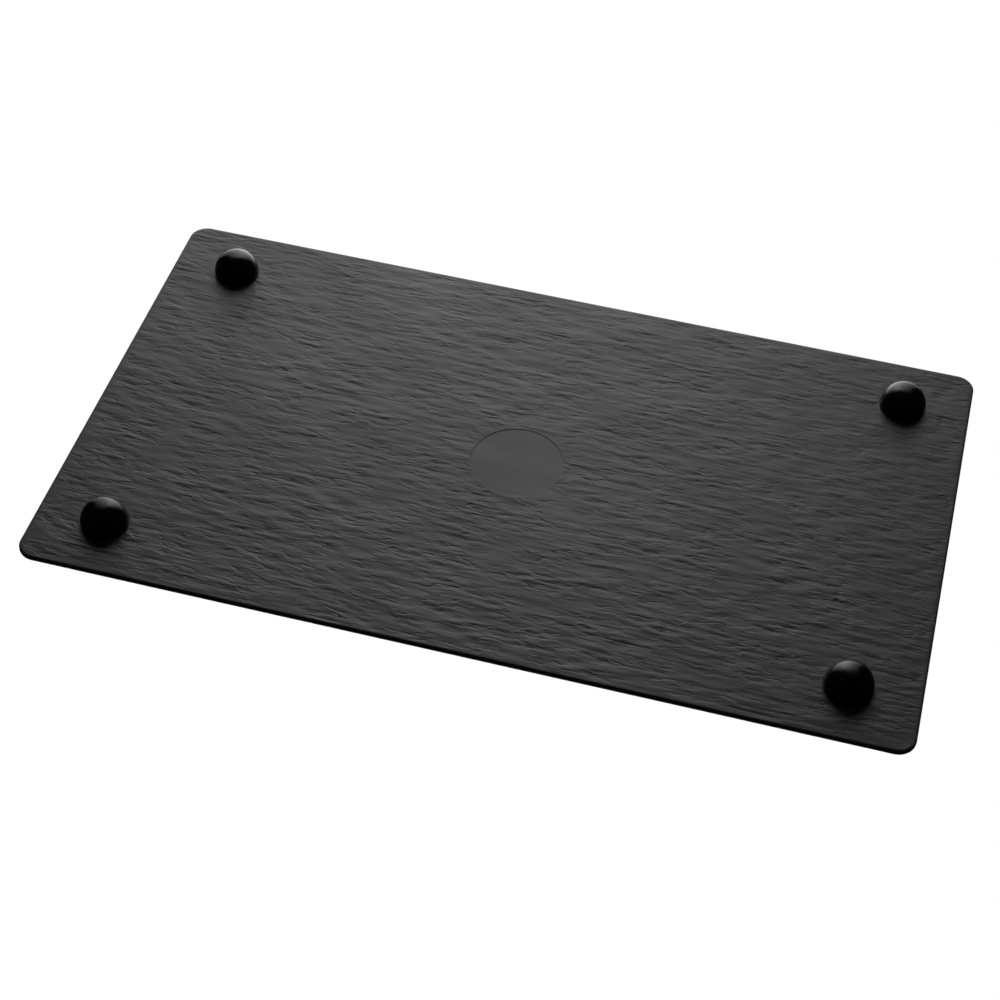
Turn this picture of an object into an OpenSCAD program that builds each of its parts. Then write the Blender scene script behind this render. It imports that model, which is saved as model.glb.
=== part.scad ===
// Flat melamine serving tray with a stone-like board on four stick-on dome feet.
// Stands on its feet: +Z is up, +X runs along the long side, and z = 0 is the table top.
// Front is -Y and left is -X. All sizes are in millimetres.

/* [Board] */
// Length of the board, along X
board_l = 350; // [240:1:480]
// Width of the board, along Y
board_w = 205; // [140:1:320]
// Thickness of the moulded board
board_t = 3.2; // [2.6:0.1:6]
// Radius of the four corners, seen from above
corner_r = 7.5; // [4:0.5:18]
// Rounding of the rim on the serving face
rim_top_r = 1.1; // [0.4:0.1:1.5]
// Rounding of the rim on the underside
rim_under_r = 0.8; // [0.4:0.1:1.2]

/* [Centre recess] */
// Diameter of the round recess in the middle of the underside
recess_d = 37.6; // [20:0.1:80]
// Depth of the round recess
recess_depth = 0.4; // [0.2:0.05:1]

/* [Feet] */
// Diameter of a dome foot
foot_d = 19; // [12:0.5:26]
// Height of the straight skirt of a foot, below the underside of the board
foot_skirt_h = 1; // [0.5:0.1:4]
// Diameter of the flat spot on which a foot stands
foot_contact_d = 5; // [3:0.5:9]
// Distance from a foot's centre to the short side of the board
foot_inset_x = 28; // [18:0.5:60]
// Distance from a foot's centre to the long side of the board
foot_inset_y = 25; // [18:0.5:45]

/* [Foot seats] */
// Depth of the round seat moulded into the underside for a foot
seat_depth = 0.6; // [0.4:0.05:1]
// Gap all round between a foot and the wall of its seat
seat_gap = 0.3; // [0.1:0.05:1]
// Thickness of the adhesive disc that holds a foot in its seat
adhesive_t = 0.3; // [0.1:0.05:0.35]
// How far the adhesive disc stops short of the edge of the foot
adhesive_margin = 0.6; // [0.2:0.1:2]

/* [Hidden] */
$fn = 96;

// Heights above the table top
foot_r = foot_d / 2;
dome_h = sqrt(pow(foot_r, 2) - pow(foot_contact_d / 2, 2));
underside_z = dome_h + foot_skirt_h;
seat_z = underside_z + seat_depth;
foot_base_z = seat_z - adhesive_t;

// Centres of the corner arcs and of the feet, in the quarter where x and y are positive
corner_x = board_l / 2 - corner_r;
corner_y = board_w / 2 - corner_r;
foot_x = board_l / 2 - foot_inset_x;
foot_y = board_w / 2 - foot_inset_y;

// Cutters reach this far past the face that they open
cut_past = 1;

board_colour = [0.24, 0.24, 0.25];
foot_colour = [0.04, 0.04, 0.04];
adhesive_colour = [0.82, 0.80, 0.74];

// What a rounding takes off a square edge: the edge is at the origin, the solid at -X and +Y of it
module rounding_cut(radius) {
    difference() {
        translate([-radius, -cut_past])
            square(radius + cut_past);
        translate([-radius, radius])
            circle(radius);
    }
}

// Half section of the board from the centre of a corner arc out to the rim, with both edges rounded
module rim_section() {
    difference() {
        square([corner_r, board_t]);
        translate([corner_r, 0])
            rounding_cut(rim_under_r);
        translate([corner_r, board_t])
            mirror([0, 1])
                rounding_cut(rim_top_r);
    }
}

// A straight side: the rim section carried along X for a length, centred, with its rim towards +Y
module rim_side(length) {
    rotate([90, 0, 90])
        linear_extrude(length, center = true)
            rim_section();
}

// The board before anything is cut into it, with its underside at z = 0
module board_blank() {
    translate([-corner_x, -corner_y, 0])
        cube([2 * corner_x, 2 * corner_y, board_t]);
    for (turn = [0, 180]) {
        rotate(turn)
            translate([0, corner_y, 0])
                rim_side(2 * corner_x);
        rotate(turn - 90)
            translate([0, corner_x, 0])
                rim_side(2 * corner_y);
    }
    for (turn = [0 : 90 : 270]) {
        side_x = turn == 0 || turn == 270 ? 1 : -1;
        side_y = turn < 180 ? 1 : -1;
        translate([side_x * corner_x, side_y * corner_y, 0])
            rotate(turn)
                rotate_extrude(angle = 90)
                    rim_section();
    }
}

// Moulded board with the round recess and the four foot seats in its underside
module tray_board() {
    color(board_colour)
        translate([0, 0, underside_z])
            difference() {
                board_blank();
                translate([0, 0, -cut_past])
                    cylinder(d = recess_d, h = recess_depth + cut_past);
                for (side_x = [-1, 1], side_y = [-1, 1])
                    translate([side_x * foot_x, side_y * foot_y, -cut_past])
                        cylinder(r = foot_r + seat_gap, h = seat_depth + cut_past);
            }
}

// Rubber foot: a dome cut flat where it stands, under a straight skirt that reaches into its seat
module foot(side_x, side_y) {
    color(foot_colour)
        translate([side_x * foot_x, side_y * foot_y, 0])
            rotate_extrude()
                union() {
                    intersection() {
                        translate([0, dome_h])
                            circle(foot_r);
                        square([foot_r, dome_h]);
                    }
                    translate([0, dome_h])
                        square([foot_r, foot_base_z - dome_h]);
                }
}

// Adhesive disc between the top of a foot and the floor of its seat
module adhesive(side_x, side_y) {
    color(adhesive_colour)
        translate([side_x * foot_x, side_y * foot_y, foot_base_z])
            cylinder(r = foot_r - adhesive_margin, h = adhesive_t);
}

tray_board();
foot(-1, -1);  // foot_front_left
foot(1, -1);  // foot_front_right
foot(-1, 1);  // foot_back_left
foot(1, 1);  // foot_back_right
adhesive(-1, -1);  // adhesive_front_left
adhesive(1, -1);  // adhesive_front_right
adhesive(-1, 1);  // adhesive_back_left
adhesive(1, 1);  // adhesive_back_right
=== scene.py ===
"""A flat melamine serving tray with a rippled stone grain, standing on four stick-on rubber dome feet.

The file is laid out as an add-on and is run as a script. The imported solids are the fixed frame: every piece
made here takes its place and main sizes from them, in metres. +Z points out of the serving face, +X runs
along the long side, and the feet stand on z = 0. The camera looks up at the underside.
"""
import math

import bpy
import numpy as np
from bpy.props import FloatProperty, FloatVectorProperty, IntProperty, PointerProperty
from mathutils import Matrix, Vector


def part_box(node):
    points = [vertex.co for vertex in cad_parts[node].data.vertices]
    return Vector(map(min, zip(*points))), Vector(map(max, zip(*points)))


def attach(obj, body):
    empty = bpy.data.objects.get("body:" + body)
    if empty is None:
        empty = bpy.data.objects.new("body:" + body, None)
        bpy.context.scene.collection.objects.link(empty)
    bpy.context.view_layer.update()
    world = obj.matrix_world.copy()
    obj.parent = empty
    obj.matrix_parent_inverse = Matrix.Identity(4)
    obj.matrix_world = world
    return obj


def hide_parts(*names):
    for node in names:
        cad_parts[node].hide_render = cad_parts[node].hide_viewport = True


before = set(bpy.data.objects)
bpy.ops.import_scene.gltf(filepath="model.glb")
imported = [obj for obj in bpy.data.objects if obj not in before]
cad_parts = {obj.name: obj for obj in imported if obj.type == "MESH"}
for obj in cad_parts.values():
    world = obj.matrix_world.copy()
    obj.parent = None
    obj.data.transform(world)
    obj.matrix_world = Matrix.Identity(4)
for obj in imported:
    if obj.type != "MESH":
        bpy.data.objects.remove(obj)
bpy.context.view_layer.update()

bl_info = {
    "name": "Melamine tray",
    "version": (1, 0, 0),
    "blender": (4, 5, 0),
    "location": "3D View > Sidebar > Tray",
    "description": "Dresses the solids of a melamine serving tray with a grained board and rubber dome feet",
    "category": "Object",
}

MM = 0.001
BODY = "root"
CORNERS = ("front_left", "front_right", "back_left", "back_right")

# Mesh steps of the board: the serving face has one line for each few lines of the underside
LINE_STEP_X = 2.0 * MM
LINE_STEP_Y = 0.58 * MM
COLUMNS_PER_TOP_COLUMN = 2
ROWS_PER_TOP_ROW = 3
CORNER_CELLS_X = 4
CORNER_CELLS_Y = 12
ROUNDING_STEPS = 4
EDGE_STEPS = 3
STOP_DIGITS = 7

# The patch of mesh round a hole: its width, its rings, and shares of the way from its border in to the lip
PATCH_MARGIN = 3.2 * MM
PATCH_RINGS = 7
PATCH_LAST_RING = 0.975
PATCH_GRAIN_ENDS = (0.7, 1.0)

# The floor of a hole: its rings, and the outermost as a share of the floor's radius
HOLE_RINGS = 5
HOLE_OUTER_RING = 0.992

# Mesh steps of what is turned about an axis, and rings on a foot's two flats as shares of their radius
CIRCLE_SIDES = 96
ARC_STEPS = 20
FLAT_RINGS = (0.35, 0.7, 0.92)
UPPER_RINGS = (0.97, 0.6, 0.3)

# Gradient noise: the size of its lattice, and the step from the underside's seed to the serving face's
LATTICE = 512
TOP_SEED_STEP = 100

# Slow changes of the grain: their patches in swell lengths and swell widths, and how far they go
BEND_PATCH = (4.0, 8.0)
SWELL_PATCH = (3.5, 6.0)
SWELL_CHANGE = 0.85
STROKE_PATCH = (1.4, 2.2)
STROKE_MEAN = 0.52
STROKE_CHANGE = 0.85

# Marks that a mesh keeps for its finish
MARKS = ("relief", "grain", "strokes")

# Noise in a finish: its mean, and the detail of a cloudy one
NOISE_MEAN = 0.5
CLOUD_DETAIL = 3.0

# Melamine: its clouds, how much its skin enlarges a stroke, and the noise between which a nick deepens
MELAMINE_IOR = 1.65
CLOUD_CELL = (40 * MM, 12 * MM, 40 * MM)
CLOUD_ROUGHNESS = 0.20
SKIN_STROKE_GAIN = 2.0
NICK_LEVELS = (0.56, 0.70)

# Tone of the melamine: the relief between which it turns from groove to face, and what it is made up of. The
# grooves are darker with dust and painted shade
GROOVE_TO_FACE = (-0.3, 0.1)
TONE_LEAST = 0.2
DUST_AND_SHADE_OF_RELIEF = 0.5
TONE_OF_CLOUDS = 0.4

# Rubber: its fine skin, its smears, and the heights between which the wear of the standing spot ends
RUBBER_IOR = 1.5
SKIN_CELL = (0.35 * MM,) * 3
SKIN_DEPTH = 0.01 * MM
SMEAR_CELL = (4 * MM,) * 3
SMEAR_ROUGHNESS = 0.12
WEAR_HEIGHTS = (0.05 * MM, 0.6 * MM)
WEAR_LEAST = 0.4
WEAR_ROUGHNESS = 0.2

# Adhesive film: the size of its clouds, their darker tone as a share of the film's, and its roughness
FILM_CELL = (2.5 * MM,) * 3
FILM_SHADE = 0.8
FILM_ROUGHNESS = 0.2
FILM_ROUGHNESS_CHANGE = 0.3

# Stage: layers of the soft lamp, the floor's rings, the shares of its radius where it fades, and the camera
LAMP_LAYERS = 5
LAMP_GAP = 4 * MM
FLOOR_RINGS = 4
FLOOR_FADES = (0.15, 0.42)
SENSOR_WIDTH = 36.0
CLIP_NEAR = 10 * MM
CLIP_FAR = 100.0
WHITE = (1.0, 1.0, 1.0)


def length(name, description, millimetres):
    """A property for a length, given in millimetres and kept in metres."""
    return FloatProperty(name=name, description=description, default=millimetres * MM, min=0.0,
                         precision=5, unit="LENGTH")


def share(name, description, default):
    """A property for a share between nothing and all."""
    return FloatProperty(name=name, description=description, default=default, min=0.0, max=1.0,
                         subtype="FACTOR")


def angle(name, description, degrees):
    """A property for an angle, given in degrees and kept in radians."""
    return FloatProperty(name=name, description=description, default=math.radians(degrees), unit="ROTATION")


def strength(name, description, default):
    """A property for the strength of a light."""
    return FloatProperty(name=name, description=description, default=default, min=0.0)


def colour(name, description, default):
    """A property for a linear colour."""
    return FloatVectorProperty(name=name, description=description, default=default, size=3, min=0.0, max=1.0,
                               subtype="COLOR")


def vector(name, description, default, subtype="TRANSLATION"):
    """A property for a place in metres, or for a direction."""
    return FloatVectorProperty(name=name, description=description, default=default, size=3, subtype=subtype)


class BoardSettings(bpy.types.PropertyGroup):
    """Sizes and finish of the moulded board."""

    corner_radius: length("Corner radius", "Radius of the four corners, seen from above", 7.5)
    top_rounding: length("Top rounding", "Rounding of the rim on the serving face", 1.1)
    under_rounding: length("Under rounding", "Rounding of the rim on the underside", 0.8)
    recess_diameter: length("Recess diameter", "Diameter of the round recess in the underside", 37.6)
    recess_depth: length("Recess depth", "Depth of the round recess", 0.4)
    seat_gap: length("Seat gap", "Gap between a foot and the wall of its seat", 0.3)
    seat_depth: length("Seat depth", "Depth of the seat moulded for a foot", 0.6)
    lip: length("Lip", "Rounding of the edge of the recess and of the seats", 0.06)
    grain_depth: length("Grain depth", "Depth from the highest ridge to the deepest groove", 0.46)
    grain_fade: length("Grain fade", "Distance over which the grain rises from the rim", 1.6)
    grain_seed: IntProperty(name="Grain seed", description="Number that picks the grain's pattern", default=7)
    grain_turn: angle("Grain turn", "Turn of the grain's lines against the long side", -1.5)
    swell_length: length("Swell length", "Length of a broad swell, along the long side", 13.0)
    swell_width: length("Swell width", "Width of a broad swell, across the long side", 4.1)
    swell_height: length("Swell height", "Height of the broad swells", 0.23)
    swell_bend: share("Swell bend", "How far the grain's lines bend, as a share of a swell's width", 0.15)
    stroke_length: length("Stroke length", "Length of a narrow stroke, along the long side", 6.6)
    stroke_width: length("Stroke width", "Width of a narrow stroke, across the long side", 1.78)
    stroke_height: length("Stroke height", "Height of the narrow strokes", 0.37)
    nick_length: length("Nick length", "Length of a short nick, along the long side", 5.0)
    nick_width: length("Nick width", "Width of a short nick, across the long side", 1.45)
    nick_depth: length("Nick depth", "Depth of the short nicks", 0.155)
    scratch_length: length("Scratch length", "Length of a fine scratch, along the long side", 2.3)
    scratch_width: length("Scratch width", "Width of a fine scratch, across the long side", 0.8)
    scratch_height: length("Scratch height", "Height of the fine scratches", 0.085)
    face_colour: colour("Face colour", "Charcoal of the grained faces", (0.021, 0.021, 0.0215))
    # Darker tone in the grooves: dust and painted shade
    groove_dust_and_shade_colour: colour("Groove colour", "Deeper tone in the grooves", (0.013, 0.013, 0.0135))
    roughness: share("Roughness", "Roughness of the satin skin", 0.48)


class FootSettings(bpy.types.PropertyGroup):
    """Sizes and finish of the dome feet and of the film that holds them."""

    contact_diameter: length("Contact diameter", "Flat spot that the table cuts from the plain dome", 5.0)
    contact_blend: length("Contact blend", "Radius that rounds the dome off where it stands", 9.1)
    edge_rounding: length("Edge rounding", "Rounding of the upper edge of a foot", 0.2)
    rubber_colour: colour("Rubber colour", "Black of the moulded rubber", (0.0025, 0.0025, 0.0025))
    wear_colour: colour("Wear colour", "Greyer tone of the spot on the table", (0.004, 0.004, 0.004))
    rubber_roughness: share("Rubber roughness", "Roughness of the moulded rubber", 0.18)
    rubber_sheen: share("Rubber sheen", "Level of the gloss of the moulded rubber", 0.5)
    film_colour: colour("Film colour", "Pale tone of the adhesive film", (0.60, 0.58, 0.50))


class StageSettings(bpy.types.PropertyGroup):
    """Camera, light and floor."""

    camera_azimuth: angle("Camera azimuth", "Turn of the camera round the tray, from the front", -12.7029)
    camera_elevation: angle("Camera elevation", "Height of the camera, negative from below", -46.9751)
    camera_roll: angle("Camera roll", "Turn of the camera about its line of sight", -177.3232)
    camera_distance: length("Camera distance", "Distance from the camera to the point it aims at", 862.588)
    camera_aim: vector("Camera aim", "Point on the underside that the camera faces",
                       (0.001215, -0.022673, 0.010165))
    camera_lens: FloatProperty(name="Camera lens", description="Focal length in millimetres", default=77.915,
                               unit="CAMERA")
    under_place: vector("Under lamp place", "Place of the soft lamp behind the tray", (0.157, 0.640, 0.010))
    under_glow: strength("Under lamp glow", "Brightness of the soft lamp in its middle", 2.13)
    under_fade: length("Under lamp fade", "Distance from its middle at which the soft lamp is at 0.6", 271.0)
    under_height: length("Under lamp height", "Height of the soft lamp behind the tray", 1850.0)
    over_aim: vector("Over lamp direction", "Direction from the tray to the upper lamp", (0.10, 0.36, 0.93),
                     "DIRECTION")
    over_strength: strength("Over lamp strength", "Strength of the upper lamp", 2.7)
    over_spread: angle("Over lamp spread", "Angle that the upper lamp fills, seen from the tray", 38.0)
    ambient: share("Ambient", "Light that reaches the tray from all round", 0.04)
    mirrored: share("Mirrored", "Brightness of the surroundings that shiny faces mirror", 0.008)
    floor_radius: length("Floor radius", "Radius of the round floor", 1600.0)
    floor_gap: length("Floor gap", "Distance of the floor below the feet", 0.05)
    floor_colour: colour("Floor colour", "Pale tone of the floor", (0.86, 0.86, 0.86))


# Arithmetic on whole arrays

def smooth_step(low, high, value):
    """Rises from 0 at low to 1 at high: 3 t^2 - 2 t^3 of the share t of the way, held inside 0 to 1."""
    part = np.clip((value - low) / (high - low), 0.0, 1.0)
    return part * part * (3.0 - 2.0 * part)


def gradient_noise(x, y, seed):
    """Gradient noise on a unit lattice: each lattice point has a random direction, and a place takes the four
    slopes around it, blended by 6 t^5 - 15 t^4 + 10 t^3 along both sides of its cell."""
    turns = np.random.default_rng(seed).uniform(0.0, 2.0 * math.pi, (LATTICE, LATTICE))
    column = np.floor(x).astype(int)
    row = np.floor(y).astype(int)
    u = x - column
    v = y - row

    def slope(up, along):
        turn = turns[(row + up) % LATTICE, (column + along) % LATTICE]
        return np.cos(turn) * (u - along) + np.sin(turn) * (v - up)

    def ease(t):
        return t * t * t * (t * (6.0 * t - 15.0) + 10.0)

    near = slope(0, 0) + ease(u) * (slope(0, 1) - slope(0, 0))
    far = slope(1, 0) + ease(u) * (slope(1, 1) - slope(1, 0))
    return near + ease(v) * (far - near)


def stone_relief(x, y, settings, seed, stroke_height):
    """Height of the stone grain above its middle, and how strongly its strokes show there, from 0 to 1.

    The grain's lines run along x after a small turn, and a slow noise bends them. Broad swells and narrow
    strokes are two layers of gradient noise, drawn out along the lines. Other slow noises fade the swells and
    the strokes in and out, and the sum is held within half the grain's depth."""
    cosine = math.cos(settings.grain_turn)
    sine = math.sin(settings.grain_turn)
    along = x * cosine - y * sine
    across = x * sine + y * cosine
    long_side = settings.swell_length
    short_side = settings.swell_width

    def slow(patch, step):
        return gradient_noise(along / (patch[0] * long_side), across / (patch[1] * short_side), seed + step)

    line = across / short_side + settings.swell_bend * slow(BEND_PATCH, 0)
    swell = gradient_noise(along / long_side, line, seed + 1)
    swell *= 1.0 + SWELL_CHANGE * slow(SWELL_PATCH, 2)
    stroke_line = line * short_side / settings.stroke_width
    stroke = gradient_noise(along / settings.stroke_length, stroke_line, seed + 3)
    shown = np.clip(STROKE_MEAN + STROKE_CHANGE * slow(STROKE_PATCH, 4), 0.0, 1.0)
    height = settings.swell_height * swell + stroke_height * shown * stroke
    half = settings.grain_depth / 2
    return np.clip(height, -half, half), shown


def lifted(flat, z):
    """Places on a face with their heights beside them."""
    return np.concatenate([flat, np.broadcast_to(z, flat.shape[:-1])[..., None]], axis=-1)


def revolved(section_r, section_z, centre):
    """A section turned about the upright axis through a centre: x + r cos t, y + r sin t and the section's
    own height, for turns t all round."""
    turn = np.arange(CIRCLE_SIDES) * 2.0 * math.pi / CIRCLE_SIDES
    circle = np.stack([np.cos(turn), np.sin(turn)], axis=-1)
    return lifted(np.array(centre) + section_r[:, None, None] * circle, section_z[:, None])


class Shell:
    """Gathers grids of points and the faces between them into one mesh."""

    def __init__(self):
        self.points = []
        self.marks = []
        self.faces = []
        self.count = 0

    def add(self, points, relief=0.0, grain=0.0, strokes=0.0):
        """Adds an array of points, whose last axis is x, y, z, and returns their numbers in the same layout.
        Each point also keeps its marks: its height in the grain as a share of the grain's depth, the strength
        of the grain, and the strength of the strokes that the skin shows because the mesh leaves them out."""
        layout = points.shape[:-1]
        amount = int(np.prod(layout))
        self.points.append(points.reshape(-1, 3))
        marks = np.stack([np.broadcast_to(mark, layout) for mark in (relief, grain, strokes)], axis=-1)
        self.marks.append(marks.reshape(-1, len(MARKS)))
        numbers = self.count + np.arange(amount).reshape(layout)
        self.count += amount
        return numbers

    def skin(self, numbers, keep=None, around=False, flip=False):
        """Puts a face in each cell of a grid of point numbers, or in the cells to keep. Around closes the
        rows into rings. The faces look along the step to the next column crossed with the step to the next
        row, or the other way with flip."""
        if around:
            numbers = np.hstack([numbers, numbers[:, :1]])
        cells = np.stack([numbers[:-1, :-1], numbers[:-1, 1:], numbers[1:, 1:], numbers[1:, :-1]], axis=-1)
        cells = cells.reshape(-1, 4) if keep is None else cells[keep]
        self.faces.append(cells[:, ::-1] if flip else cells)

    def close(self, ring, tip, flip=False):
        """Closes a ring of point numbers with a fan of triangles to one point."""
        fan = np.stack([ring, np.roll(ring, -1), np.full_like(ring, tip)], axis=-1)
        self.faces.append(fan[:, ::-1] if flip else fan)

    def stitch(self, ring, sparse, kept):
        """Joins a ring of point numbers to a sparser one that has a point for each kept place of the fuller
        ring: one face from each kept place to the next, with the places between them on its long edge."""
        spans = np.diff(np.append(kept, kept[0] + len(ring)))
        for span in np.unique(spans):
            start = np.flatnonzero(spans == span)
            full = ring[(kept[start, None] + np.arange(span + 1)) % len(ring)]
            self.faces.append(np.column_stack([full, np.roll(sparse, -1)[start], sparse[start]]))

    def to_object(self, name, material):
        """Makes the mesh, without the points that no face uses, and links its object."""
        points = np.concatenate(self.points)
        marks = np.concatenate(self.marks)
        corners = np.concatenate([face.ravel() for face in self.faces])
        used, renumbered = np.unique(corners, return_inverse=True)
        ends = np.cumsum([face.size for face in self.faces])[:-1]
        faces = []
        for face, numbers in zip(self.faces, np.split(renumbered.ravel(), ends)):
            faces.extend(numbers.reshape(face.shape).tolist())
        mesh = bpy.data.meshes.new(name)
        mesh.from_pydata(points[used].tolist(), [], faces, shade_flat=False)
        for column, title in enumerate(MARKS):
            mark = mesh.attributes.new(title, "FLOAT", "POINT")
            mark.data.foreach_set("value", marks[used, column].astype(np.float32))
        mesh.materials.append(material)
        piece = bpy.data.objects.new(name, mesh)
        bpy.context.scene.collection.objects.link(piece)
        return piece


# The board

def lines_through(stops, step, group):
    """Lines with one on every stop, evenly spaced between the stops and about one step apart, with a whole
    number of groups of cells from stop to stop. Stops that agree in the digits kept count as one."""
    stops = np.unique(np.round(stops, STOP_DIGITS))
    counts = group * np.maximum(1, np.round(np.diff(stops) / step / group).astype(int))
    runs = [np.linspace(a, b, n, endpoint=False) for a, b, n in zip(stops[:-1], stops[1:], counts)]
    return np.concatenate(runs + [stops[-1:]])


def with_corners(lines, cells):
    """Adds the lines of the two corner strips. Gives each line's place inside the core rectangle, and how far
    it reaches past the core, from -1 through 0 to 1."""
    reach = np.arange(1, cells + 1) / cells
    core = np.concatenate([np.full(cells, lines[0]), lines, np.full(cells, lines[-1])])
    past = np.concatenate([-reach[::-1], np.zeros(len(lines)), reach])
    return core, past


def border(grid, rows=slice(None), columns=slice(None)):
    """The outermost entries of a block of a grid, as a ring that runs anticlockwise seen from +Z."""
    block = grid[rows, columns]
    return np.concatenate([block[0, :-1], block[:-1, -1], block[-1, :0:-1], block[:0:-1, 0]])


class BoardPlan:
    """The board seen from above: the lines of its face grids, and its holes."""

    def __init__(self, settings):
        self.settings = settings
        low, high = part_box("tray_board")
        inset = settings.grain_depth / 2
        self.under_z = low.z + inset
        self.top_z = high.z - inset
        self.core_x = high.x - settings.corner_radius
        self.core_y = high.y - settings.corner_radius
        foot_low, foot_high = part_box("foot_back_right")
        foot_x, foot_y = (foot_low.xy + foot_high.xy) / 2
        seat_radius = (foot_high.x - foot_low.x) / 2 + settings.seat_gap
        seat_depth = settings.seat_depth - inset
        self.holes = [((0.0, 0.0), settings.recess_diameter / 2, settings.recess_depth - inset)]
        self.holes += [((i * foot_x, j * foot_y), seat_radius, seat_depth) for i in (-1, 1) for j in (-1, 1)]
        stops_x = [-self.core_x, self.core_x]
        stops_y = [-self.core_y, self.core_y]
        for (x, y), radius, _ in self.holes:
            stops_x += [x - radius - PATCH_MARGIN, x + radius + PATCH_MARGIN]
            stops_y += [y - radius - PATCH_MARGIN, y + radius + PATCH_MARGIN]
        lines_x = lines_through(stops_x, LINE_STEP_X, COLUMNS_PER_TOP_COLUMN)
        lines_y = lines_through(stops_y, LINE_STEP_Y, ROWS_PER_TOP_ROW)
        self.lines_x, past_x = with_corners(lines_x, CORNER_CELLS_X)
        self.lines_y, past_y = with_corners(lines_y, CORNER_CELLS_Y)
        u, v = np.meshgrid(past_x, past_y)
        self.core = np.stack(np.meshgrid(self.lines_x, self.lines_y), axis=-1)
        self.outward = np.stack([u * np.sqrt(1.0 - v * v / 2.0), v * np.sqrt(1.0 - u * u / 2.0)], axis=-1)

    def face(self, rounding):
        """Places of a flat face, up to its rim rounding: core + outward * (corner radius - rounding). In a
        corner the outward part bends the square block of cells into a quarter disc, u * sqrt(1 - v^2 / 2)
        and v * sqrt(1 - u^2 / 2)."""
        return self.core + self.outward * (self.settings.corner_radius - rounding)

    def to_rim(self, flat, rounding):
        """Distance from places on a face to the line where its rim rounding begins."""
        past = np.abs(flat) - (self.core_x, self.core_y)
        outside = np.hypot(*np.moveaxis(np.maximum(past, 0.0), -1, 0))
        inside = np.minimum(past.max(axis=-1), 0.0)
        return self.settings.corner_radius - rounding - outside - inside

    def block(self, centre, radius):
        """Rows and columns of the square block of grid lines round a hole."""
        half = radius + PATCH_MARGIN
        rows = [int(np.argmin(np.abs(self.lines_y - centre[1] - side * half))) for side in (-1, 1)]
        columns = [int(np.argmin(np.abs(self.lines_x - centre[0] - side * half))) for side in (-1, 1)]
        return slice(rows[0], rows[1] + 1), slice(columns[0], columns[1] + 1)


def grained(plan, flat, rounding, seed, stroke_height, damp=1.0):
    """Height of the grain above its middle at places of a face, and how strongly its strokes show there. Both
    fade to nothing at the rim, where the face is smooth, and are damped besides."""
    height, shown = stone_relief(flat[..., 0], flat[..., 1], plan.settings, seed, stroke_height)
    fade = smooth_step(0.0, plan.settings.grain_fade, plan.to_rim(flat, rounding)) * damp
    return height * fade, shown * fade


def add_under_face(shell, plan, flat, damp=1.0):
    """Adds places of the underside at the height of its grain, which has swells and strokes."""
    settings = plan.settings
    height, shown = grained(plan, flat, settings.under_rounding, settings.grain_seed, settings.stroke_height,
                            damp)
    return shell.add(lifted(flat, plan.under_z - height), height / settings.grain_depth, shown)


def add_top_face(shell, plan, flat):
    """Adds places of the serving face at the height of its grain, which has swells only: its skin shows the
    strokes."""
    settings = plan.settings
    height, shown = grained(plan, flat, settings.top_rounding, settings.grain_seed + TOP_SEED_STEP, 0.0)
    return shell.add(lifted(flat, plan.top_z + height), height / settings.grain_depth, shown, shown)


def hole_profile(plan, radius, depth):
    """Section of a hole, as radii and as depths below the face: a quarter round for the lip, a straight wall,
    a quarter round of half the lip's radius as a fillet, and rings of the flat floor."""
    lip = plan.settings.lip
    fillet = lip / 2
    turn = np.linspace(0.0, math.pi / 2, EDGE_STEPS + 1)
    floor_r = (radius - fillet) * np.linspace(HOLE_OUTER_RING, 0.0, HOLE_RINGS, endpoint=False)
    section_r = [radius + lip - lip * np.sin(turn), radius - fillet + fillet * np.cos(turn), floor_r]
    section_d = [lip - lip * np.cos(turn), depth - fillet + fillet * np.sin(turn), np.full(HOLE_RINGS, depth)]
    return np.concatenate(section_r), np.concatenate(section_d)


def sink_hole(shell, plan, numbers, flat, centre, radius, depth):
    """Fills the square block round a hole. Rings run from the block's border to the lip, straight along rays
    from the centre, and the hole's section then turns about the centre."""
    rows, columns = plan.block(centre, radius)
    square = border(flat, rows, columns)
    ray = square - centre
    ray /= np.hypot(*ray.T)[:, None]
    inward = np.append(np.arange(1, PATCH_RINGS) / PATCH_RINGS, [PATCH_LAST_RING, 1.0])[:, None, None]
    lip_line = np.array(centre) + ray * (radius + plan.settings.lip)
    patch = square * (1.0 - inward) + lip_line * inward
    patch_rows = add_under_face(shell, plan, patch, 1.0 - smooth_step(*PATCH_GRAIN_ENDS, inward[..., 0]))
    section_r, section_d = hole_profile(plan, radius, depth)
    turned = np.array(centre) + ray * section_r[1:, None, None]
    hole_rows = shell.add(lifted(turned, plan.under_z + section_d[1:, None]))
    tip = shell.add(np.array([[*centre, plan.under_z + depth]]))
    shell.skin(np.vstack([border(numbers, rows, columns), patch_rows, hole_rows]), around=True, flip=True)
    shell.close(hole_rows[-1], tip[0], flip=True)


def rim_rings(plan):
    """The rim between the two faces: a quarter round, a straight wall and a second quarter round, given by
    distance from the core rectangle and by height, and carried along the border of the board."""
    settings = plan.settings
    turn = np.linspace(0.0, math.pi / 2, ROUNDING_STEPS + 1)[1:]
    under = settings.under_rounding
    top = settings.top_rounding
    out = np.concatenate([under * (np.sin(turn) - 1.0), top * (np.sin(turn[::-1]) - 1.0)])
    z = np.concatenate([plan.under_z + under * (1.0 - np.cos(turn)),
                        plan.top_z - top * (1.0 - np.cos(turn[::-1]))])
    rings = border(plan.core) + border(plan.outward) * (settings.corner_radius + out)[:, None, None]
    return lifted(rings, z[:, None])


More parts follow.
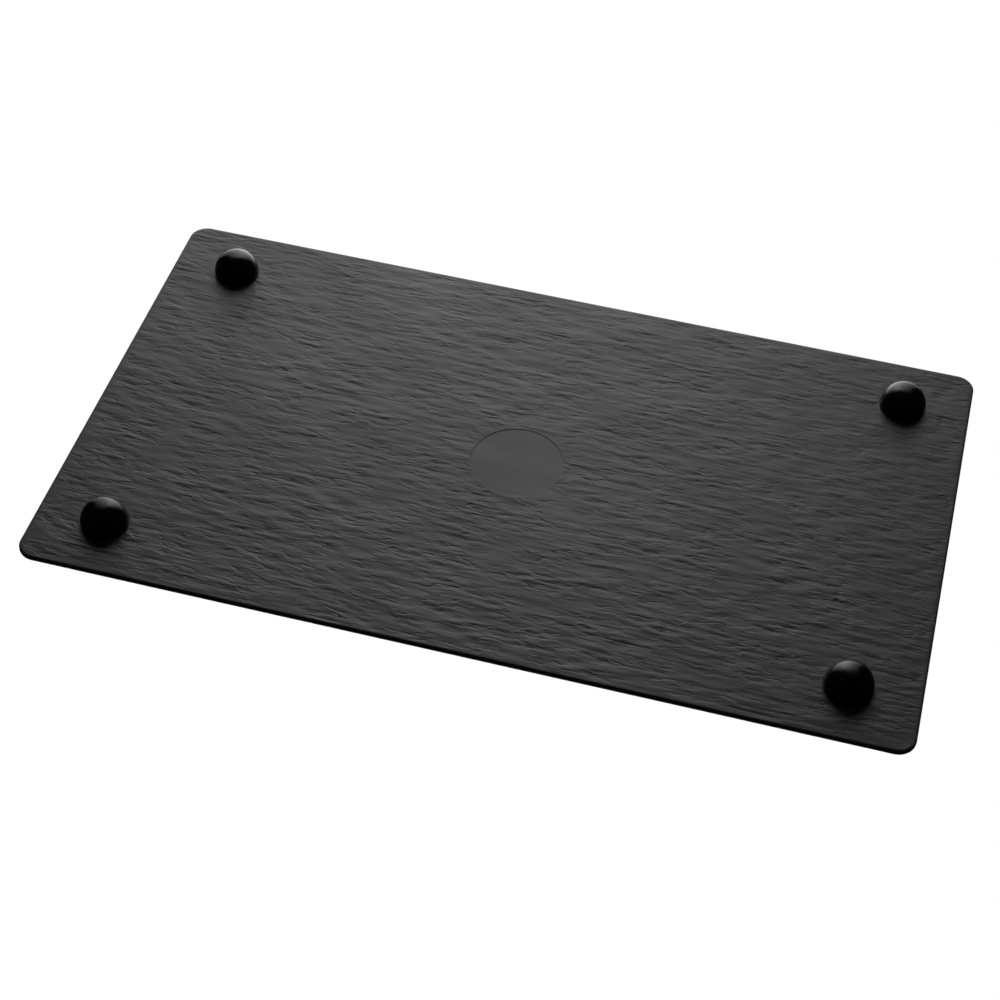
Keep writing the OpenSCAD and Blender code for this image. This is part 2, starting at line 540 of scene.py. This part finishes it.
def board_shell(settings):
    """The whole board: two grained faces, the rim carried round between them, and the recess and foot seats
    sunk into the underside. The serving face lies on some of the underside's grid lines."""
    plan = BoardPlan(settings)
    shell = Shell()
    on_top = (slice(None, None, ROWS_PER_TOP_ROW), slice(None, None, COLUMNS_PER_TOP_COLUMN))
    under_flat = plan.face(settings.under_rounding)
    under = add_under_face(shell, plan, under_flat)
    top = add_top_face(shell, plan, plan.face(settings.top_rounding)[on_top])
    keep = np.ones((under.shape[0] - 1, under.shape[1] - 1), bool)
    for centre, radius, depth in plan.holes:
        rows, columns = plan.block(centre, radius)
        keep[rows.start:rows.stop - 1, columns.start:columns.stop - 1] = False
        sink_hole(shell, plan, under, under_flat, centre, radius, depth)
    shell.skin(under, keep=keep, flip=True)
    shell.skin(top)
    rim = shell.add(rim_rings(plan))
    shell.skin(np.vstack([border(under), rim]), around=True)
    shared = np.zeros(under.shape, bool)
    shared[on_top] = True
    shell.stitch(rim[-1], border(top), np.flatnonzero(border(shared)))
    return shell


# The feet

def foot_section(settings, radius, height):
    """Section of a dome foot from its standing spot to its upper face, as radii and as heights.

    The plain dome is an arc about a centre on the axis, low enough for the table to cut a flat spot of the
    contact diameter from it. A smaller arc touches both the table and the dome, and leaves a smaller flat
    spot. A straight skirt and a small quarter round lead to the flat upper face."""
    dome_z = math.sqrt(radius ** 2 - (settings.contact_diameter / 2) ** 2)
    blend = settings.contact_blend
    flat = math.sqrt((radius - blend) ** 2 - (dome_z - blend) ** 2)
    touch = math.atan2(flat, dome_z - blend)
    small = np.linspace(0.0, touch, ARC_STEPS // 2)
    large = np.linspace(touch, math.pi / 2, ARC_STEPS + 1)[1:]
    edge = settings.edge_rounding
    turn = np.linspace(0.0, math.pi / 2, EDGE_STEPS + 1)
    section_r = [flat * np.array(FLAT_RINGS), flat + blend * np.sin(small), radius * np.sin(large),
                 radius - edge + edge * np.cos(turn), (radius - edge) * np.array(UPPER_RINGS)]
    section_z = [np.zeros(len(FLAT_RINGS)), blend - blend * np.cos(small), dome_z - radius * np.cos(large),
                 height - edge + edge * np.sin(turn), np.full(len(UPPER_RINGS), height)]
    return np.concatenate(section_r), np.concatenate(section_z)


def foot_shell(settings, node):
    """A foot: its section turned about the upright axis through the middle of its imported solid."""
    low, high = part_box(node)
    centre = (low + high) / 2
    section_r, section_z = foot_section(settings, (high.x - low.x) / 2, high.z - low.z)
    shell = Shell()
    numbers = shell.add(revolved(section_r, low.z + section_z, centre.xy))
    tips = shell.add(np.array([[centre.x, centre.y, low.z], [centre.x, centre.y, high.z]]))
    shell.skin(numbers, around=True)
    shell.close(numbers[0], tips[0], flip=True)
    shell.close(numbers[-1], tips[1])
    return shell


# Finishes

def pick(sockets, key):
    """A socket by its place in the row, or the one in use that has the name, or the first in use."""
    if isinstance(key, int):
        return sockets[key]
    return next(socket for socket in sockets if socket.enabled and key in (None, socket.name))


class Wire:
    """An output socket that can stand in a Python expression: each operator adds a Math node."""

    def __init__(self, recipe, socket):
        self.recipe = recipe
        self.socket = socket

    def math(self, operation, first, second):
        """A Math node on two wires or numbers."""
        return self.recipe.node("ShaderNodeMath", {"operation": operation}, {0: first, 1: second})

    def __add__(self, other):
        return self.math("ADD", self, other)

    def __radd__(self, other):
        return self.math("ADD", other, self)

    def __sub__(self, other):
        return self.math("SUBTRACT", self, other)

    def __rsub__(self, other):
        return self.math("SUBTRACT", other, self)

    def __mul__(self, other):
        return self.math("MULTIPLY", self, other)

    def __rmul__(self, other):
        return self.math("MULTIPLY", other, self)


class Recipe:
    """The nodes of one finish, or of the light all round."""

    def __init__(self, tree):
        self.tree = tree
        tree.nodes.clear()

    def node(self, kind, settings=None, sockets=None, output=None):
        """Adds a node, with its settings set first and then a value or a wire on each socket named or
        numbered. Returns a wire from the output asked for, or from the first one."""
        made = self.tree.nodes.new(kind)
        for key, value in (settings or {}).items():
            setattr(made, key, value)
        for key, value in (sockets or {}).items():
            if isinstance(value, Wire):
                self.tree.links.new(value.socket, pick(made.inputs, key))
            else:
                pick(made.inputs, key).default_value = value
        return Wire(self, pick(made.outputs, output)) if made.outputs else made

    def place(self):
        """The place on the piece, in metres."""
        return self.node("ShaderNodeTexCoord", output="Object")

    def noise(self, where, cell, detail=0.0):
        """Noise from 0 to 1 whose cells have the three side lengths given."""
        scale = tuple(1.0 / side for side in cell)
        scaled = self.node("ShaderNodeMapping", None, {"Vector": where, "Scale": scale})
        sockets = {"Vector": scaled, "Scale": 1.0, "Detail": detail}
        return self.node("ShaderNodeTexNoise", None, sockets, "Fac")

    def streaks(self, where, along, across):
        """Noise from 0 to 1 in plain cells that are as long along x and as wide across it as given."""
        return self.noise(where, (along, across, along))

    def between(self, value, low, high):
        """Rises smoothly from 0 where a value is low to 1 where it is high."""
        return self.node("ShaderNodeMapRange", {"interpolation_type": "SMOOTHSTEP"},
                         {"Value": value, "From Min": low, "From Max": high})

    def tint(self, share_of_second, first, second):
        """A colour between two colours."""
        return self.node("ShaderNodeMix", {"data_type": "RGBA"},
                         {"Factor": share_of_second, "A": opaque(first), "B": opaque(second)})

    def bump(self, height, distance=1.0):
        """A normal tilted by a height, counted in metres or in the distance given."""
        return self.node("ShaderNodeBump", None, {"Height": height, "Distance": distance, "Strength": 1.0})

    def skin(self, sockets):
        """Ends the recipe in a Principled shader with these values and wires on its sockets."""
        shader = self.node("ShaderNodeBsdfPrincipled", None, sockets)
        self.node("ShaderNodeOutputMaterial", None, {"Surface": shader})


def opaque(tone):
    """A colour with full alpha."""
    return (*tone, 1.0)


def new_finish(name):
    """An empty material, and the recipe that fills it."""
    material = bpy.data.materials.new(name)
    material.use_nodes = True
    return material, Recipe(material.node_tree)


def melamine_finish(settings):
    """Charcoal moulded melamine: a satin skin, darker in the grooves with dust and painted shade, and
    slightly clouded, with short nicks and fine scratches along the grain's lines, and with strokes where the
    mesh has none."""
    material, recipe = new_finish("melamine")
    turn = (0.0, 0.0, settings.grain_turn)
    where = recipe.node("ShaderNodeMapping", None, {"Vector": recipe.place(), "Rotation": turn})
    relief, grain, strokes = (recipe.node("ShaderNodeAttribute", {"attribute_name": title}, output="Fac")
                              for title in MARKS)
    clouds = recipe.noise(where, CLOUD_CELL, CLOUD_DETAIL)
    stroke = recipe.streaks(where, settings.stroke_length, settings.stroke_width)
    scratch = recipe.streaks(where, settings.scratch_length, settings.scratch_width)
    nick = recipe.streaks(where, settings.nick_length, settings.nick_width)
    height = (stroke - NOISE_MEAN) * strokes * (SKIN_STROKE_GAIN * settings.stroke_height)
    height += (scratch - NOISE_MEAN) * grain * settings.scratch_height
    height -= recipe.between(nick, *NICK_LEVELS) * grain * settings.nick_depth
    # Darker where the relief is low: dust and painted shade in the grooves; the clouds add tone at random
    tone = TONE_LEAST + recipe.between(relief, *GROOVE_TO_FACE) * DUST_AND_SHADE_OF_RELIEF + clouds * TONE_OF_CLOUDS
    recipe.skin({"Base Color": recipe.tint(tone, settings.groove_dust_and_shade_colour, settings.face_colour),
                 "Roughness": settings.roughness + (clouds - NOISE_MEAN) * CLOUD_ROUGHNESS,
                 "IOR": MELAMINE_IOR, "Normal": recipe.bump(height)})
    return material


def rubber_finish(settings):
    """Black moulded rubber: a soft sheen with a very fine skin, and a greyer, duller spot where a foot
    stands."""
    material, recipe = new_finish("foot_rubber")
    where = recipe.place()
    height = recipe.node("ShaderNodeSeparateXYZ", None, {"Vector": where}, "Z")
    skin_noise = recipe.noise(where, SKIN_CELL, CLOUD_DETAIL)
    smears = recipe.noise(where, SMEAR_CELL, CLOUD_DETAIL)
    worn = (1.0 - recipe.between(height, *WEAR_HEIGHTS)) * (WEAR_LEAST + smears)
    roughness = settings.rubber_roughness + worn * WEAR_ROUGHNESS + (smears - NOISE_MEAN) * SMEAR_ROUGHNESS
    recipe.skin({"Base Color": recipe.tint(worn, settings.rubber_colour, settings.wear_colour),
                 "Roughness": roughness, "IOR": RUBBER_IOR, "Normal": recipe.bump(skin_noise, SKIN_DEPTH),
                 "Specular IOR Level": settings.rubber_sheen})
    return material


def film_finish(settings):
    """Pressure-sensitive film: pale, a little cloudy where it has flowed, with a tacky gloss."""
    material, recipe = new_finish("adhesive")
    flow = recipe.noise(recipe.place(), FILM_CELL, CLOUD_DETAIL)
    darker = tuple(FILM_SHADE * part for part in settings.film_colour)
    recipe.skin({"Base Color": recipe.tint(flow, darker, settings.film_colour),
                 "Roughness": FILM_ROUGHNESS + flow * FILM_ROUGHNESS_CHANGE})
    return material


# The stage

def floor_finish(settings):
    """A pale floor that is clear from below, and that fades into the white background inside its edge."""
    material, recipe = new_finish("floor")
    distance = recipe.node("ShaderNodeVectorMath", {"operation": "LENGTH"}, {0: recipe.place()}, "Value")
    below = recipe.node("ShaderNodeNewGeometry", output="Backfacing")
    fade = recipe.between(distance, *(part * settings.floor_radius for part in FLOOR_FADES))
    clear = below + (1.0 - below) * fade
    pale = recipe.node("ShaderNodeBsdfDiffuse", None, {"Color": opaque(settings.floor_colour)})
    gone = recipe.node("ShaderNodeBsdfTransparent")
    mixed = recipe.node("ShaderNodeMixShader", None, {"Fac": clear, 1: pale, 2: gone})
    recipe.node("ShaderNodeOutputMaterial", None, {"Surface": mixed})
    return material


def make_floor(settings):
    """A round floor just below the feet: rings of points about the middle, the outermost at the floor's
    radius. Only the camera sees it, so it keeps no lamp from the underside."""
    radii = settings.floor_radius * np.arange(1, FLOOR_RINGS + 1) / FLOOR_RINGS
    shell = Shell()
    numbers = shell.add(revolved(radii, np.full(FLOOR_RINGS, -settings.floor_gap), (0.0, 0.0)))
    middle = shell.add(np.array([[0.0, 0.0, -settings.floor_gap]]))
    shell.skin(numbers, around=True, flip=True)
    shell.close(numbers[0], middle[0])
    floor = shell.to_object("floor", floor_finish(settings))
    for ray in ("diffuse", "glossy", "transmission", "volume_scatter", "shadow"):
        setattr(floor, f"visible_{ray}", False)


def light_all_round(settings):
    """White for what the camera sees, also through clear matter, dark for what shiny faces mirror, and a low
    even light for everything else."""
    world = bpy.data.worlds.new("studio")
    world.use_nodes = True
    recipe = Recipe(world.node_tree)
    camera = recipe.node("ShaderNodeLightPath", output="Is Camera Ray")
    through = recipe.node("ShaderNodeLightPath", output="Is Transmission Ray")
    seen = recipe.node("ShaderNodeMath", {"operation": "MAXIMUM"}, {0: camera, 1: through})
    mirrored = recipe.node("ShaderNodeLightPath", output="Is Glossy Ray")
    level = seen + (1.0 - seen) * (settings.ambient + mirrored * (settings.mirrored - settings.ambient))
    light = recipe.node("ShaderNodeBackground", None, {"Color": opaque(WHITE), "Strength": level})
    recipe.node("ShaderNodeOutputWorld", None, {"Surface": light})
    bpy.context.scene.world = world


def add_lamp(name, kind, place, towards, **traits):
    """A lamp at a place that shines towards a point."""
    lamp = bpy.data.lights.new(name, kind)
    for key, value in traits.items():
        setattr(lamp, key, value)
    holder = bpy.data.objects.new(name, lamp)
    holder.location = place
    holder.rotation_mode = "QUATERNION"
    holder.rotation_quaternion = (Vector(towards) - Vector(place)).to_track_quat("-Z", "Y")
    holder.visible_camera = False
    bpy.context.scene.collection.objects.link(holder)


def add_soft_lamp(settings, middle):
    """A tall lamp behind the tray that fades to both sides as exp(-t^2 / 2): lamps of equal brightness one
    behind another, each as wide as the places where the glow is above its level. The small gap between them
    lets a ray that meets one go on to the next. A lamp's power is its brightness times its area times pi."""
    height = settings.under_height
    away = (Vector(settings.under_place) - middle).normalized()
    for layer in range(LAMP_LAYERS):
        level = (layer + 0.5) / LAMP_LAYERS
        width = 2.0 * settings.under_fade * math.sqrt(-2.0 * math.log(level))
        power = math.pi * width * height * settings.under_glow / LAMP_LAYERS
        place = Vector(settings.under_place) + away * layer * LAMP_GAP
        add_lamp(f"under_lamp_{layer}", "AREA", place, middle, shape="RECTANGLE", energy=power, size=width,
                 size_y=height)


def make_camera(settings):
    """A camera on a line from the point it aims at: back by azimuth and elevation, then rolled about that
    line."""
    azimuth = settings.camera_azimuth
    elevation = settings.camera_elevation
    back = Vector((math.sin(azimuth) * math.cos(elevation), -math.cos(azimuth) * math.cos(elevation),
                   math.sin(elevation)))
    place = Vector(settings.camera_aim) + back * settings.camera_distance
    camera = bpy.data.objects.new("camera", bpy.data.cameras.new("camera"))
    camera.data.sensor_width = SENSOR_WIDTH
    camera.data.lens = settings.camera_lens
    camera.data.clip_start = CLIP_NEAR
    camera.data.clip_end = CLIP_FAR
    upright = back.to_track_quat("Z", "Y").to_matrix().to_4x4()
    camera.matrix_world = Matrix.Translation(place) @ upright @ Matrix.Rotation(settings.camera_roll, 4, "Z")
    bpy.context.scene.collection.objects.link(camera)
    bpy.context.scene.camera = camera


# Operators, panel and running

class TRAY_OT_make_board(bpy.types.Operator):
    """Make the grained melamine board in place of its plain solid"""

    bl_idname = "tray.make_board"
    bl_label = "Make board"

    def execute(self, context):
        settings = context.scene.tray_board
        piece = board_shell(settings).to_object("melamine_board", melamine_finish(settings))
        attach(piece, BODY)
        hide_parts("tray_board")
        return {"FINISHED"}


class TRAY_OT_make_feet(bpy.types.Operator):
    """Make the four rubber dome feet in place of their plain solids"""

    bl_idname = "tray.make_feet"
    bl_label = "Make feet"

    def execute(self, context):
        settings = context.scene.tray_feet
        rubber = rubber_finish(settings)
        for corner in CORNERS:
            node = f"foot_{corner}"
            piece = foot_shell(settings, node).to_object(f"rubber_{node}", rubber)
            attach(piece, BODY)
            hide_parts(node)
        return {"FINISHED"}


class TRAY_OT_dress_adhesive(bpy.types.Operator):
    """Give the adhesive discs between feet and board their finish"""

    bl_idname = "tray.dress_adhesive"
    bl_label = "Dress adhesive"

    def execute(self, context):
        film = film_finish(context.scene.tray_feet)
        for corner in CORNERS:
            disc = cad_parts[f"adhesive_{corner}"]
            disc.data.materials.clear()
            disc.data.materials.append(film)
        return {"FINISHED"}


class TRAY_OT_make_stage(bpy.types.Operator):
    """Make the camera, the lamps, the light all round and the floor"""

    bl_idname = "tray.make_stage"
    bl_label = "Make stage"

    def execute(self, context):
        settings = context.scene.tray_stage
        make_camera(settings)
        middle = Vector(settings.camera_aim)
        add_soft_lamp(settings, middle)
        add_lamp("over_lamp", "SUN", middle + Vector(settings.over_aim), middle,
                 energy=settings.over_strength, angle=settings.over_spread)
        light_all_round(settings)
        make_floor(settings)
        context.scene.view_settings.view_transform = "Standard"
        return {"FINISHED"}


OPERATORS = (TRAY_OT_make_board, TRAY_OT_make_feet, TRAY_OT_dress_adhesive, TRAY_OT_make_stage)
GROUPS = {"tray_board": BoardSettings, "tray_feet": FootSettings, "tray_stage": StageSettings}


class TRAY_PT_sidebar(bpy.types.Panel):
    """The tray's operators and settings"""

    bl_idname = "TRAY_PT_sidebar"
    bl_label = "Melamine tray"
    bl_space_type = "VIEW_3D"
    bl_region_type = "UI"
    bl_category = "Tray"

    def draw(self, context):
        for operator in OPERATORS:
            self.layout.operator(operator.bl_idname)
        for title, group in GROUPS.items():
            box = self.layout.box()
            for setting in group.__annotations__:
                box.prop(getattr(context.scene, title), setting)


CLASSES = (*GROUPS.values(), *OPERATORS, TRAY_PT_sidebar)


def register():
    """Registers the classes, and gives each scene a group of each kind of settings."""
    for cls in CLASSES:
        bpy.utils.register_class(cls)
    for title, group in GROUPS.items():
        setattr(bpy.types.Scene, title, PointerProperty(type=group))


def unregister():
    """Takes the settings and the classes away again."""
    for title in GROUPS:
        delattr(bpy.types.Scene, title)
    for cls in reversed(CLASSES):
        bpy.utils.unregister_class(cls)


def main():
    """Makes the stage and the pieces."""
    register()
    bpy.ops.tray.make_stage()
    bpy.ops.tray.make_board()
    bpy.ops.tray.make_feet()
    bpy.ops.tray.dress_adhesive()


if __name__ == "__main__":
    main()
